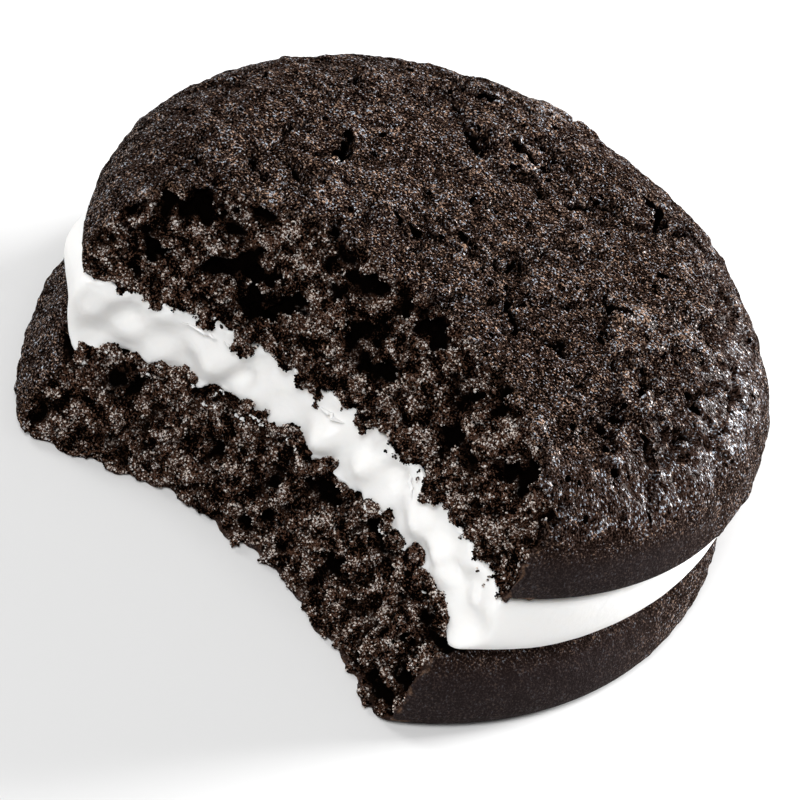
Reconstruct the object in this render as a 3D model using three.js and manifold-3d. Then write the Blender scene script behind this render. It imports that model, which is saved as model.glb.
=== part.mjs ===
// Snack cake sandwich: two soft round chocolate cakes with white cream between them, one bite taken.
// Millimetres, +Z up. The origin is the centre of the bottom cake's flat base, and the bite faces -Y.

import * as THREE from 'three';
import { mergeVertices } from 'three/addons/utils/BufferGeometryUtils.js';
import Module from 'manifold-3d';

const wasm = await Module();
wasm.setup();

// ---- Driving dimensions -------------------------------------------------------------------------

// Each cake is widest just above its base. From there its wall leans in and rolls over into the top:
// a large fullness keeps the wall upright and the top flat, a small one makes a softer shoulder.
const BOTTOM_CAKE = {
  radius: 31,
  thickness: 9.9,
  widestAt: 1.5,
  baseRounding: 1.6,
  wallFullness: 1.7,
  topFullness: 6.5,
};
const TOP_CAKE = {
  radius: 30,
  thickness: 10,
  widestAt: 1.3,
  baseRounding: 1.5,
  wallFullness: 1.6,
  topFullness: 5.7,
};

const CREAM_THICKNESS = 4.3; // at the middle of the sandwich
const CREAM_SPREAD = 27.4; // where the cream ends on the bottom cake's shoulder
const CREAM_UNDER_TOP = 28.6; // where it ends under the top cake
const CREAM_BULGE = 1.4; // how far its edge swells past those two
const CREAM_CENTRE = new THREE.Vector2(1.0, -0.1);

const CONTACT_GAP = 0.3; // clearance between neighbouring solids

// The cream is thicker at the bite, so the top cake leans back and a little to the right.
const TOP_CAKE_CENTRE = new THREE.Vector2(0.9, 0.7);
const LEAN_BACK = THREE.MathUtils.degToRad(-5.25);
const LEAN_RIGHT = THREE.MathUtils.degToRad(1.8);

// The bite's deepest line, from the base upwards: steep in the bottom cake, nearly upright in the
// cream, and torn well back in the top cake. At each height the bite curves back towards -Y, by
// the given fall at its half width.
const BITE_LINE = [
  { height: 0, x: -2, y: -18.1, fall: 5.2 },
  { height: 9.9, x: -0.5, y: -13.8, fall: 3.4 },
  { height: 15.8, x: 1.5, y: -12.3, fall: 5.1 },
  { height: 25, x: 0.5, y: -5.8, fall: 5.4 },
];
const BITE_HALF_WIDTH = 18;
const BITE_LUMP = 0.4;

const AROUND = 72; // facets round a cake
const BASE_STEPS = 3;
const WALL_STEPS = 6;
const TOP_STEPS = 7;
const EDGE_STEPS = 6;

// ---- Uneven, home-baked shape -------------------------------------------------------------------

// How much a cake's outline swells or shrinks round its edge, as a share of the radius.
function outlineSwell(angle, phase) {
  return (
    1 +
    0.004 * Math.sin(2 * angle + phase) +
    0.003 * Math.sin(3 * angle + 2.1 * phase) +
    0.0015 * Math.sin(7 * angle + 0.7 * phase)
  );
}

// Low swells of a baked top, in millimetres.
function topSwell(x, y, phase) {
  return (
    0.14 * Math.sin(x / 6.3 + phase) * Math.cos(y / 7.1 - 0.6 * phase) +
    0.08 * Math.sin(x / 3.4 - y / 4.1 + 1.7 * phase)
  );
}

// ---- Solids and cuts ----------------------------------------------------------------------------

// Merges shared vertices and drops the empty triangles that a lathe leaves at its axis.
function weld(geometry) {
  geometry.deleteAttribute('normal');
  geometry.deleteAttribute('uv');
  const welded = mergeVertices(geometry, 1e-4);
  const kept = [];
  for (let i = 0; i < welded.index.count; i += 3) {
    const [a, b, c] = [0, 1, 2].map((corner) => welded.index.getX(i + corner));
    if (a !== b && b !== c && c !== a) kept.push(a, b, c);
  }
  welded.setIndex(kept);
  return welded;
}

function toSolid(geometry) {
  const welded = weld(geometry);
  return new wasm.Manifold(
    new wasm.Mesh({
      numProp: 3,
      vertProperties: new Float32Array(welded.attributes.position.array),
      triVerts: new Uint32Array(welded.index.array),
    }),
  );
}

function toGeometry(solid) {
  const mesh = solid.getMesh();
  const geometry = new THREE.BufferGeometry();
  geometry.setAttribute('position', new THREE.BufferAttribute(new Float32Array(mesh.vertProperties), 3));
  geometry.setIndex(new THREE.BufferAttribute(new Uint32Array(mesh.triVerts), 1));
  geometry.computeVertexNormals();
  return geometry;
}

// Turns a profile of radius and height into a solid of revolution that stands along +Z.
function revolve(profile) {
  return new THREE.LatheGeometry(profile, AROUND).rotateX(Math.PI / 2);
}

// Moves every vertex of a geometry by a function of its place.
function reshape(geometry, move) {
  const position = geometry.attributes.position;
  const point = new THREE.Vector3();
  for (let i = 0; i < position.count; i += 1) {
    point.fromBufferAttribute(position, i);
    move(point);
    position.setXYZ(i, point.x, point.y, point.z);
  }
  return geometry;
}

// ---- Cakes --------------------------------------------------------------------------------------

// Height of a cake's upper surface above its base at a given distance from its axis.
function cakeHeight(cake, distance) {
  const share = Math.min(distance / cake.radius, 1);
  const rise = (1 - share ** cake.topFullness) ** (1 / cake.wallFullness);
  return cake.widestAt + (cake.thickness - cake.widestAt) * rise;
}

function wallRadius(cake, height) {
  const share = (height - cake.widestAt) / (cake.thickness - cake.widestAt);
  return cake.radius * (1 - share ** cake.wallFullness) ** (1 / cake.topFullness);
}

function cakeProfile(cake) {
  const points = [new THREE.Vector2(0, 0)];
  for (let i = 0; i < BASE_STEPS; i += 1) {
    const turn = (i / BASE_STEPS) * (Math.PI / 2);
    const radius = cake.radius - cake.baseRounding * (1 - Math.sin(turn));
    points.push(new THREE.Vector2(radius, cake.widestAt * (1 - Math.cos(turn))));
  }
  const shoulder = cake.widestAt + 0.8 * (cake.thickness - cake.widestAt);
  for (let i = 0; i <= WALL_STEPS; i += 1) {
    const height = THREE.MathUtils.lerp(cake.widestAt, shoulder, i / WALL_STEPS);
    points.push(new THREE.Vector2(wallRadius(cake, height), height));
  }
  const shoulderRadius = wallRadius(cake, shoulder);
  for (let i = 1; i <= TOP_STEPS; i += 1) {
    const radius = shoulderRadius * (1 - i / TOP_STEPS);
    points.push(new THREE.Vector2(radius, cakeHeight(cake, radius)));
  }
  return points;
}

function cakeGeometry(cake, phase) {
  return reshape(revolve(cakeProfile(cake)), (point) => {
    const swell = outlineSwell(Math.atan2(point.y, point.x), phase);
    const lift = topSwell(point.x, point.y, phase) * THREE.MathUtils.smoothstep(point.z, 4, 9);
    point.x *= swell;
    point.y *= swell;
    point.z += lift;
  });
}

// ---- Cream --------------------------------------------------------------------------------------

// The plane under the leaning top cake, as a height at a place.
const topCakePlace = new THREE.Vector3(
  TOP_CAKE_CENTRE.x,
  TOP_CAKE_CENTRE.y,
  BOTTOM_CAKE.thickness + CREAM_THICKNESS,
);
const topCakeLean = new THREE.Euler(LEAN_BACK, LEAN_RIGHT, 0);
const topCakeUp = new THREE.Vector3(0, 0, 1).applyEuler(topCakeLean);

function undersideHeight(x, y) {
  const slopeX = (x - topCakePlace.x) * topCakeUp.x;
  const slopeY = (y - topCakePlace.y) * topCakeUp.y;
  return topCakePlace.z - (slopeX + slopeY) / topCakeUp.z;
}

// The cream's outline is drawn as radius and level, where level 0 lies on the bottom cake and
// level 1 under the top cake. Its edge is a soft swelling between the two.
function creamProfile() {
  const points = [new THREE.Vector2(0, 0)];
  for (let i = 1; i < TOP_STEPS; i += 1) {
    points.push(new THREE.Vector2((CREAM_SPREAD * i) / TOP_STEPS, 0));
  }
  for (let i = 0; i <= EDGE_STEPS; i += 1) {
    const share = i / EDGE_STEPS;
    const between = THREE.MathUtils.lerp(CREAM_SPREAD, CREAM_UNDER_TOP, share);
    const level = (1 - Math.cos(share * Math.PI)) / 2;
    points.push(new THREE.Vector2(between + CREAM_BULGE * Math.sin(share * Math.PI), level));
  }
  points.push(new THREE.Vector2(0, 1));
  return points;
}

function creamGeometry() {
  return reshape(revolve(creamProfile()), (point) => {
    const level = point.z;
    point.x += CREAM_CENTRE.x;
    point.y += CREAM_CENTRE.y;
    const support = Math.min(Math.hypot(point.x, point.y), CREAM_SPREAD);
    const lower = cakeHeight(BOTTOM_CAKE, support) + topSwell(point.x, point.y, 1.1) + CONTACT_GAP;
    const upper = undersideHeight(point.x, point.y) - CONTACT_GAP;
    point.z = THREE.MathUtils.lerp(lower, upper, level);
  });
}

// ---- Bite ---------------------------------------------------------------------------------------

// The bite's deepest point and its fall at a height.
function biteLineAt(height) {
  const last = BITE_LINE.length - 1;
  let i = 0;
  while (i < last - 1 && height > BITE_LINE[i + 1].height) i += 1;
  const [from, to] = [BITE_LINE[i], BITE_LINE[i + 1]];
  const share = (height - from.height) / (to.height - from.height);
  return {
    x: THREE.MathUtils.lerp(from.x, to.x, share),
    y: THREE.MathUtils.lerp(from.y, to.y, share),
    fall: THREE.MathUtils.lerp(from.fall, to.fall, share),
  };
}

// Everything on the -Y side of this surface is bitten off.
function biteY(x, z) {
  const deepest = biteLineAt(z);
  const across = (x - deepest.x) / BITE_HALF_WIDTH;
  const lump =
    BITE_LUMP * Math.sin(0.9 * x + 0.5 * z) * Math.cos(0.75 * z - 0.3 * x) +
    0.6 * BITE_LUMP * Math.sin(1.7 * x - 1.1 * z + 2);
  return deepest.y - deepest.fall * across * across + lump;
}

function biteGeometry() {
  const [width, depth, height] = [84, 60, 42];
  const box = new THREE.BoxGeometry(width, depth, height, 56, 1, 28);
  box.translate(0, -depth / 2, 0.4 * height);
  return reshape(box, (point) => {
    if (point.y > -depth / 2) point.y = biteY(point.x, point.z);
    else point.y = -depth;
  });
}

// Takes the bite out of a piece, whose own axes may be moved and leaning.
function bitten(geometry, placement = new THREE.Matrix4()) {
  const bite = biteGeometry().applyMatrix4(placement.clone().invert());
  return toGeometry(toSolid(geometry).subtract(toSolid(bite)));
}

// ---- The sandwich -------------------------------------------------------------------------------

const chocolateCrust = new THREE.MeshStandardMaterial({ color: 0x352b28, roughness: 0.72, metalness: 0 });
const chocolateBase = new THREE.MeshStandardMaterial({ color: 0x2f2928, roughness: 0.76, metalness: 0 });
const whiteCream = new THREE.MeshStandardMaterial({ color: 0xedecea, roughness: 0.38, metalness: 0 });

const sandwich = new THREE.Group();

const bottomCake = new THREE.Mesh(bitten(cakeGeometry(BOTTOM_CAKE, 1.1)), chocolateBase);
bottomCake.name = 'cake_bottom';
sandwich.add(bottomCake);

const cream = new THREE.Mesh(bitten(creamGeometry()), whiteCream);
cream.name = 'cream_filling';
sandwich.add(cream);

const topCakePlacement = new THREE.Matrix4()
  .makeRotationFromEuler(topCakeLean)
  .setPosition(topCakePlace);
const topCake = new THREE.Mesh(bitten(cakeGeometry(TOP_CAKE, 3.4), topCakePlacement), chocolateCrust);
topCake.name = 'cake_top';
topCake.position.copy(topCakePlace);
topCake.rotation.copy(topCakeLean);
sandwich.add(topCake);

export default sandwich;
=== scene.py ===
# %% [markdown]
# # A bitten snack cake sandwich
#
# Two soft chocolate cakes with white cream between them, and one bite taken from the edge. The CAD
# model holds the three solids at their real size. This lesson models what they look like: a baked
# crust with its grain and cracks, the open crumb where the cake was torn, and cream that was
# squeezed and smeared by the bite. Everything is in metres, in the CAD model's own frame.

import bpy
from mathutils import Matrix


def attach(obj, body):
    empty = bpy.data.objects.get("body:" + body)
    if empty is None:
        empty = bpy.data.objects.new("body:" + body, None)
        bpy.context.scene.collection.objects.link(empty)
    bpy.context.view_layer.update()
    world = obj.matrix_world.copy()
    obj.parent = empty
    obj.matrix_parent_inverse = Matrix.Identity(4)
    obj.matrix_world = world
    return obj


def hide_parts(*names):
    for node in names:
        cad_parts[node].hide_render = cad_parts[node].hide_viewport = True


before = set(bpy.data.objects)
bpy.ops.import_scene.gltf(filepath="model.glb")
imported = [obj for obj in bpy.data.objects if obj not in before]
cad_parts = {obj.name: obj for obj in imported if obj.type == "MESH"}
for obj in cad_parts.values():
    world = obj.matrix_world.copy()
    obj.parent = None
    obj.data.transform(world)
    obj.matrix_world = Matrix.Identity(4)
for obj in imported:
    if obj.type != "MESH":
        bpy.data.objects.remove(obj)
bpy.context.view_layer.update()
print("CAD nodes:", sorted(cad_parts))

# %% Libraries and units
import math

import bpy
import numpy as np
from mathutils import Matrix, Vector

MM = 0.001
SLOT_CAKE = "chocolate_crust"
SLOT_CREAM = "white_cream"
print("Blender", bpy.app.version_string)

# %% [markdown]
# ## Working by hand
#
# An operator acts on all that is selected, so every step starts by deselecting everything. These
# helpers do what the mouse would do: pick a piece, put a modifier on it and apply it, and measure
# the result.

# %% Picking and modifiers


def pick(*pieces):
    """Deselects everything, then selects these pieces. The first one becomes the active one."""
    bpy.ops.object.select_all(action="DESELECT")
    for piece in pieces:
        piece.select_set(True)
    bpy.context.view_layer.objects.active = pieces[0]


def modify(piece, kind, **settings):
    """Puts a modifier on the piece with these settings, and applies it."""
    pick(piece)
    modifier = piece.modifiers.new(kind.title(), kind)
    for name, value in settings.items():
        setattr(modifier, name, value)
    bpy.ops.object.modifier_apply(modifier=modifier.name)


def duplicate(piece, name):
    """A copy of the piece with a mesh of its own."""
    pick(piece)
    bpy.ops.object.duplicate()
    copy = bpy.context.object
    copy.name = copy.data.name = name
    return copy


def join(name, *pieces):
    """Joins the pieces into the first one."""
    pick(*pieces)
    bpy.ops.object.join()
    joined = bpy.context.object
    joined.name = joined.data.name = name
    return joined


def discard(*pieces):
    """Deletes helpers that are no part of the cake, such as cutters."""
    for piece in pieces:
        bpy.data.objects.remove(piece)


def triangles(piece):
    """How many triangles the piece has."""
    loops = np.zeros(len(piece.data.polygons), np.int32)
    piece.data.polygons.foreach_get("loop_total", loops)
    return int((loops - 2).sum())


def corners_of(piece):
    """The piece's vertices in millimetres, as rows of x, y, z."""
    places = np.zeros(len(piece.data.vertices) * 3, np.float32)
    piece.data.vertices.foreach_get("co", places)
    return places.reshape(-1, 3).astype(float) / MM


def pull(piece, place, move, reach):
    """Pulls the corner nearest to the place, and those within reach softly with it."""
    pick(piece)
    gaps = np.linalg.norm(corners_of(piece) - place, axis=1)
    bpy.ops.object.mode_set(mode="EDIT")
    bpy.ops.mesh.select_all(action="DESELECT")
    bpy.ops.object.mode_set(mode="OBJECT")
    piece.data.vertices[int(gaps.argmin())].select = True
    bpy.ops.object.mode_set(mode="EDIT")
    bpy.ops.transform.translate(
        value=tuple(np.array(move) * MM),
        use_proportional_edit=True,
        proportional_edit_falloff="SMOOTH",
        proportional_size=reach * MM,
    )
    bpy.ops.object.mode_set(mode="OBJECT")


def measure(piece):
    """Prints the piece's triangles and its lowest and highest corner in millimetres."""
    places = corners_of(piece)
    low, high = places.min(0).round(1), places.max(0).round(1)
    print(f"{piece.name}: {triangles(piece)} triangles, {low} to {high} mm")


# %% [markdown]
# ## Wires: node trees written as maths
#
# Materials and Geometry Nodes both need long sums such as grain + cracks * mask. A wire wraps one
# socket of a node tree, so that a plain Python sum adds the Math nodes that work it out. All other
# nodes come from one method, node(), which sets a node's settings first and its sockets after.

# %% Wires


class Wire:
    """A socket of a node tree. Sums on wires add Math nodes. Wire(tree) alone is the bare tree."""

    def __init__(self, tree, socket=None):
        self.tree = tree
        self.socket = socket

    def node(self, kind, settings=None, sockets=None, output=None):
        """Adds a node. sockets gives values or wires by socket name or identifier."""
        made = self.tree.nodes.new(kind)
        for name, value in (settings or {}).items():
            if name == "stops":
                set_stops(made.color_ramp, value)
            else:
                setattr(made, name, value)
        for name, value in (sockets or {}).items():
            socket = find_socket(made.inputs, name)
            if isinstance(value, Wire):
                self.tree.links.new(value.socket, socket)
            else:
                socket.default_value = value
        if not len(made.outputs):
            return made
        return Wire(self.tree, find_socket(made.outputs, output))

    def maths(self, operation, first, second=0.0, third=None):
        sockets = {"Value": first, "Value_001": second}
        if third is not None:
            sockets["Value_002"] = third
        return self.node("ShaderNodeMath", {"operation": operation}, sockets)

    def vector(self, operation, first, second=None, scale=None):
        sockets = {"Vector": first}
        if second is not None:
            sockets["Vector_001"] = second
        if scale is not None:
            sockets["Scale"] = scale
        return self.node("ShaderNodeVectorMath", {"operation": operation}, sockets)

    def __add__(self, other):
        return self.maths("ADD", self, other)

    __radd__ = __add__

    def __sub__(self, other):
        return self.maths("SUBTRACT", self, other)

    def __rsub__(self, other):
        return self.maths("SUBTRACT", other, self)

    def __mul__(self, other):
        return self.maths("MULTIPLY", self, other)

    __rmul__ = __mul__

    def __truediv__(self, other):
        return self.maths("DIVIDE", self, other)

    def __rtruediv__(self, other):
        return self.maths("DIVIDE", other, self)

    def __pow__(self, other):
        return self.maths("POWER", self, other)

    def __neg__(self):
        return self.maths("MULTIPLY", self, -1.0)


def find_socket(sockets, name):
    """The socket in use with that identifier or name, or the first one in use."""
    used = [socket for socket in sockets if socket.enabled]
    for key in ("identifier", "name"):
        for socket in used:
            if name is not None and getattr(socket, key) == name:
                return socket
    if name is not None:
        raise KeyError(f"no socket {name!r} among {[socket.identifier for socket in used]}")
    return used[0]


def set_stops(ramp, stops):
    """Sets a colour ramp's stops from a list of (place, colour)."""
    while len(ramp.elements) < len(stops):
        ramp.elements.new(0.5)
    for element, (place, colour) in zip(ramp.elements, stops):
        element.position = place
        element.color = colour


# %% Patterns that both trees use


def noise(bench, place, size, detail=2.0, rough=0.5, output="Fac"):
    """Cloudy noise from 0 to 1 with patches about `size` millimetres across."""
    sockets = {"Vector": place, "Scale": 1 / size, "Detail": detail, "Roughness": rough}
    return bench.node("ShaderNodeTexNoise", {}, sockets, output)


def waves(bench, place, height, size, detail=2.0, rough=0.5, middle=0.5):
    """The same noise as a height in millimetres, above and below nothing."""
    return height * (noise(bench, place, size, detail, rough) - middle)


def cells(bench, place, size, output="Distance", feature="F1"):
    """Rounded cells `size` millimetres apart: the distance to a cell's middle, or its colour."""
    sockets = {"Vector": place, "Scale": 1 / size}
    return bench.node("ShaderNodeTexVoronoi", {"feature": feature}, sockets, output)


def fade(bench, value, start, end, low=0.0, high=1.0):
    """Goes smoothly from low to high as value goes from start to end."""
    sockets = {"Value": value, "From Min": start, "From Max": end, "To Min": low, "To Max": high}
    return bench.node("ShaderNodeMapRange", {"interpolation_type": "SMOOTHSTEP"}, sockets)


# %% [markdown]
# ## The two cakes as smooth solids
#
# A baked cake of this kind is a flat round with a wall that leans in a little and rolls over into a
# nearly flat top. It could be a squashed ball, but its wall would then be too round. Here a circle
# is drawn up ring by ring and each ring is scaled to the CAD model's own profile, so both models
# agree everywhere. The top cake leans back, because the cream is thicker at the bite.

# %% Driving dimensions, in millimetres, as in the CAD model


class Cake:
    """One cake: its profile, where its base's middle lies, and how it leans."""

    def __init__(self, radius, thickness, widest_at, rounding, wall_fullness, top_fullness):
        self.radius = radius
        self.thickness = thickness
        self.widest_at = widest_at
        self.rounding = rounding
        self.wall_fullness = wall_fullness
        self.top_fullness = top_fullness
        self.place = Vector((0, 0, 0))
        self.lean = Matrix.Identity(3)
        self.bare_base = 0
        self.bare_top = 0

    def height_at(self, distance):
        """Height of the upper surface above the base at a distance from the cake's axis."""
        share = np.minimum(distance / self.radius, 1)
        rise = (1 - share**self.top_fullness) ** (1 / self.wall_fullness)
        return self.widest_at + (self.thickness - self.widest_at) * rise

    def radius_at(self, height):
        """The wall's radius at a height above the base."""
        share = np.clip((height - self.widest_at) / (self.thickness - self.widest_at), 0, 1)
        return self.radius * (1 - share**self.wall_fullness) ** (1 / self.top_fullness)

    def own(self, places):
        """Places in millimetres, seen from the cake's own base and axis."""
        return (places - np.array(self.place)) @ np.array(self.lean)

    def under_crust(self, places):
        """How deep places lie under the cake's outer surface, in millimetres."""
        x, y, z = self.own(places).T
        distance = np.hypot(x, y)
        lower = z - self.bare_top * (distance < UNDER_CREAM)
        depths = self.height_at(distance) - lower, self.radius_at(lower) - distance
        return np.minimum.reduce((*depths, z + self.bare_base))


bottom_cake = Cake(
    radius=31, thickness=9.9, widest_at=1.5, rounding=1.6, wall_fullness=1.7, top_fullness=6.5
)
top_cake = Cake(
    radius=30, thickness=10, widest_at=1.3, rounding=1.5, wall_fullness=1.6, top_fullness=5.7
)

CREAM_THICKNESS = 4.3
LEAN_BACK = math.radians(-5.25)
LEAN_RIGHT = math.radians(1.8)
top_cake.place = Vector((0.9, 0.7, bottom_cake.thickness + CREAM_THICKNESS))
top_cake.lean = Matrix.Rotation(LEAN_BACK, 3, "X") @ Matrix.Rotation(LEAN_RIGHT, 3, "Y")
# Against the cream both cakes are bare crumb, this many millimetres past their own surface.
top_cake.bare_base = 2
bottom_cake.bare_top = 3
UNDER_CREAM = 28.2  # as far from the bottom cake's axis as the cream covers it
for title, cake in (("Bottom", bottom_cake), ("Top", top_cake)):
    print(f"{title} cake: {2 * cake.radius} mm across, {cake.thickness} mm thick")

# %% A cake drawn up ring by ring

AROUND = 96
BASE_RINGS = 4
WALL_RINGS = 10
TOP_RINGS = 14
SHOULDER = 0.8  # the wall's share of the height, above which the rings are spaced by radius


def rings_of(cake):
    """(radius, height) of each ring in millimetres, from the base's edge to the top's middle."""
    rings = []
    for i in range(BASE_RINGS):
        turn = i / BASE_RINGS * math.pi / 2
        radius = cake.radius - cake.rounding * (1 - math.sin(turn))
        rings.append((radius, cake.widest_at * (1 - math.cos(turn))))
    shoulder = cake.widest_at + SHOULDER * (cake.thickness - cake.widest_at)
    for height in np.linspace(cake.widest_at, shoulder, WALL_RINGS + 1):
        rings.append((cake.radius_at(height), height))
    for radius in np.linspace(rings[-1][0], 0, TOP_RINGS + 1)[1:-1]:
        rings.append((radius, cake.height_at(radius)))
    return rings


def draw_up(name, rings):
    """A closed solid: a filled circle, extruded and scaled from ring to ring."""
    bpy.ops.object.select_all(action="DESELECT")
    radius, height = rings[0]
    bpy.ops.mesh.primitive_circle_add(
        vertices=AROUND, radius=radius * MM, fill_type="NGON", location=(0, 0, height * MM)
    )
    piece = bpy.context.object
    piece.name = piece.data.name = name
    bpy.ops.object.transform_apply()
    bpy.ops.object.mode_set(mode="EDIT")
    bpy.ops.mesh.select_all(action="SELECT")
    for next_radius, next_height in rings[1:]:
        rise = (0, 0, (next_height - height) * MM)
        bpy.ops.mesh.extrude_region_move(TRANSFORM_OT_translate={"value": rise})
        share = next_radius / radius
        bpy.ops.transform.resize(value=(share, share, 1), center_override=(0, 0, next_height * MM))
        radius, height = next_radius, next_height
    bpy.ops.mesh.select_all(action="SELECT")
    bpy.ops.mesh.normals_make_consistent(inside=False)
    bpy.ops.object.mode_set(mode="OBJECT")
    return piece


def smooth_cake(name, cake):
    """The whole cake before the bite, smooth, standing where it belongs."""
    piece = draw_up(name, rings_of(cake))
    modify(piece, "SUBSURF", levels=2, render_levels=2, use_limit_surface=False)
    piece.matrix_world = Matrix.Translation(cake.place * MM) @ cake.lean.to_4x4()
    pick(piece)
    bpy.ops.object.transform_apply()
    return piece


whole_bottom = smooth_cake("whole_bottom", bottom_cake)
# At the left of the bite the bottom cake had risen a little higher.
LEFT_RISE = {"place": (-25, -16.5, 9), "move": (0, 0, 1.7), "reach": 7}
pull(whole_bottom, **LEFT_RISE)
whole_top = smooth_cake("whole_top", top_cake)
measure(whole_bottom)
measure(whole_top)

# %% [markdown]
# ## The bite
#
# Teeth left one curved wall through all three layers: steep in the bottom cake, nearly upright in
# the cream, and torn well back in the top cake. It could be carved separately in each piece, but
# one shared surface keeps the layers in line. So a grid is stood upright, moved onto the bite's
# surface and pulled towards the mouth into a solid cutter.

# %% The bite's surface, as in the CAD model

# Height, and there the place of the deepest point and how far the bite falls away to its sides.
BITE_LINE = [
    {"height": 0, "x": -2, "y": -18.1, "fall": 5.2},
    {"height": 9.9, "x": -0.5, "y": -13.8, "fall": 3.4},
    {"height": 15.8, "x": 1.5, "y": -12.3, "fall": 5.1},
    {"height": 25, "x": 0.5, "y": -5.8, "fall": 5.4},
]
BITE_HALF_WIDTH = 18
BITE_LUMP = 0.4


def along_bite(name, z):
    """One column of the bite line at heights z. Below the first and above the last it runs on."""
    heights = [station["height"] for station in BITE_LINE]
    values = [station[name] for station in BITE_LINE]
    found = np.interp(z, heights, values)
    slope = (values[-1] - values[-2]) / (heights[-1] - heights[-2])
    return found + slope * np.maximum(z - heights[-1], 0)


def bite_y(x, z):
    """Everything with a smaller y than this is bitten off."""
    across = (x - along_bite("x", z)) / BITE_HALF_WIDTH
    lump = BITE_LUMP * np.sin(0.9 * x + 0.5 * z) * np.cos(0.75 * z - 0.3 * x)
    finer = 0.6 * BITE_LUMP * np.sin(1.7 * x - 1.1 * z + 2)
    return along_bite("y", z) - along_bite("fall", z) * across**2 + lump + finer


def behind_bite(places):
    """How far places lie behind the bite's surface, in millimetres."""
    x, y, z = places.T
    return y - bite_y(x, z)


for station in BITE_LINE:
    print(f"At height {station['height']} mm the bite reaches in to y = {station['y']} mm")


# %% The cutter

CUTTER_WIDTH = 84
CUTTER_HEIGHT = 40
CUTTER_MIDDLE = 14
CUTTER_DEPTH = 60


def bite_cutter(name, behind):
    """A solid of all that lies in front of a surface that is `behind` mm behind the bite."""
    bpy.ops.object.select_all(action="DESELECT")
    bpy.ops.mesh.primitive_grid_add(
        x_subdivisions=2 * CUTTER_WIDTH,
        y_subdivisions=2 * CUTTER_HEIGHT,
        size=MM,
        rotation=(math.pi / 2, 0, 0),
        location=(0, 0, CUTTER_MIDDLE * MM),
    )
    cutter = bpy.context.object
    cutter.name = name
    cutter.scale = (CUTTER_WIDTH, CUTTER_HEIGHT, 1)
    bpy.ops.object.transform_apply()
    for vertex in cutter.data.vertices:
        x, _, z = vertex.co / MM
        vertex.co.y = (bite_y(x, z) + behind) * MM
    bpy.ops.object.mode_set(mode="EDIT")
    bpy.ops.mesh.select_all(action="SELECT")
    to_the_mouth = (0, -CUTTER_DEPTH * MM, 0)
    bpy.ops.mesh.extrude_region_move(TRANSFORM_OT_translate={"value": to_the_mouth})
    bpy.ops.mesh.select_all(action="SELECT")
    bpy.ops.mesh.normals_make_consistent(inside=False)
    bpy.ops.object.mode_set(mode="OBJECT")
    return cutter


def cut(piece, operation, other):
    """A Boolean modifier with another closed solid, applied."""
    modify(piece, "BOOLEAN", operation=operation, object=other, solver="MANIFOLD")


# A cake is made in two pieces: its body, and the few millimetres at the bite, whose crumb needs
# much finer triangles. The finer piece runs on a little way inside the body's skin.
SEAM = 2.8
FINE_DEPTH = 4.4
bite = bite_cutter("bite", 0)
seam = bite_cutter("seam", SEAM)
fine_part = bite_cutter("fine_part", FINE_DEPTH)
measure(bite)

# %% [markdown]
# ## Shape nodes
#
# Grain, cracks and lumps are too many to pull by hand. A Geometry Nodes tree moves every corner of
# a piece along its normal by a sum of patterns, and is then applied like any other modifier. The
# same patterns serve the materials later, since both read the place in millimetres.

# %% Geometry Nodes as one more modifier


def shape_nodes(name):
    """A new Geometry Nodes tree, and the wire on which the piece comes in."""
    tree = bpy.data.node_groups.new(name, "GeometryNodeTree")
    for way in ("INPUT", "OUTPUT"):
        tree.interface.new_socket("Geometry", in_out=way, socket_type="NodeSocketGeometry")
    bench = Wire(tree)
    return bench, bench.node("NodeGroupInput", {}, {}, "Geometry")


def run_nodes(piece, shape):
    """Sends the shape out of its tree, and applies the tree to the piece."""
    shape.node("NodeGroupOutput", {}, {"Geometry": shape})
    modify(piece, "NODES", node_group=shape.tree)


def place_in_mm(bench):
    """Where a corner is, in millimetres."""
    return bench.vector("SCALE", bench.node("GeometryNodeInputPosition"), scale=1 / MM)


def own_axes(bench, cake, place):
    """The place from the cake's own base and axis: across, away and up."""
    centred = bench.vector("SUBTRACT", place, tuple(cake.place))
    found = []
    for axis in cake.lean.transposed():
        dot = bench.node(
            "ShaderNodeVectorMath",
            {"operation": "DOT_PRODUCT"},
            {"Vector": centred, "Vector_001": tuple(axis)},
            "Value",
        )
        found.append(dot)
    return found


def swell(bench, shape, height):
    """Moves the shape's corners along their normals by `height` millimetres."""
    normal = bench.node("GeometryNodeInputNormal", {}, {}, "Normal")
    offset = bench.vector("SCALE", normal, scale=height * MM)
    return bench.node("GeometryNodeSetPosition", {}, {"Geometry": shape, "Offset": offset})


def note(piece, name, values):
    """Notes a number on every corner of the piece, for the nodes to read."""
    attribute = piece.data.attributes.new(name, "FLOAT", "POINT")
    attribute.data.foreach_set("value", values.astype(np.float32))


def noted(bench, name):
    """The number that note() left on the corners, in Geometry Nodes."""
    return bench.node("GeometryNodeInputNamedAttribute", {}, {"Name": name}, "Attribute")


# %% Many little balls as one mesh

SQUASH = (0.55, 1.4)  # a ball's least and greatest share of its radius along each axis


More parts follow.
